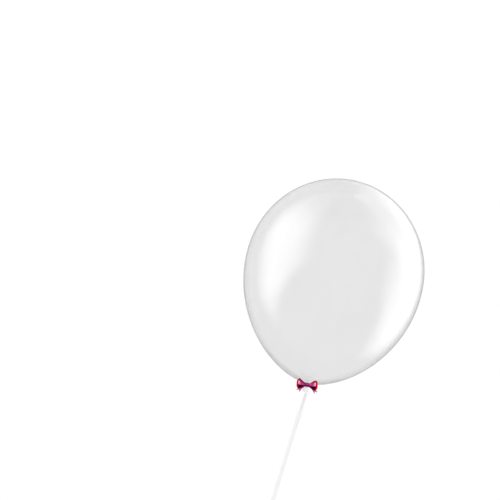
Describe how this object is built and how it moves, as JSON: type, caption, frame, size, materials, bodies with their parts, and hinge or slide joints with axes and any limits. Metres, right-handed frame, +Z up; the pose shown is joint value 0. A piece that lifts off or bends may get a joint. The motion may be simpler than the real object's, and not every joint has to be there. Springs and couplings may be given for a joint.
{
  "type": "clear balloon",
  "caption": "Clear inflated latex party balloon lying on its side, with a knotted neck, a small magenta ribbon bow and a white ribbon string that ends in a loop.",
  "frame": {"origin": "centre of the small flat spot that the balloon rests on, under its widest circle", "axes": "+Z up; +Y along the balloon's axis, from the neck to the crown; +X across it, to the right when the crown points away from the viewer"},
  "size_m": [0.3, 0.5779, 0.2985],
  "materials": {
    "clear_latex": "thin clear latex, glossy and faintly grey, a little denser at the neck and the crown",
    "bow_foil": "glossy metallic ribbon, magenta with a red outer edge and a dark plum lower edge",
    "bow_tail_foil": "glossy metallic magenta ribbon",
    "bow_band_foil": "glossy metallic dark plum ribbon",
    "white_ribbon": "white ribbed curling ribbon with a soft sheen"
  },
  "bodies": {
    "root": {"balloon": "clear_latex", "bow_loops": "bow_foil", "bow_tails": "bow_tail_foil", "bow_knot": "bow_band_foil", "string_tie": "white_ribbon", "string": "white_ribbon", "string_loop": "white_ribbon"}
  },
  "joints": []
}
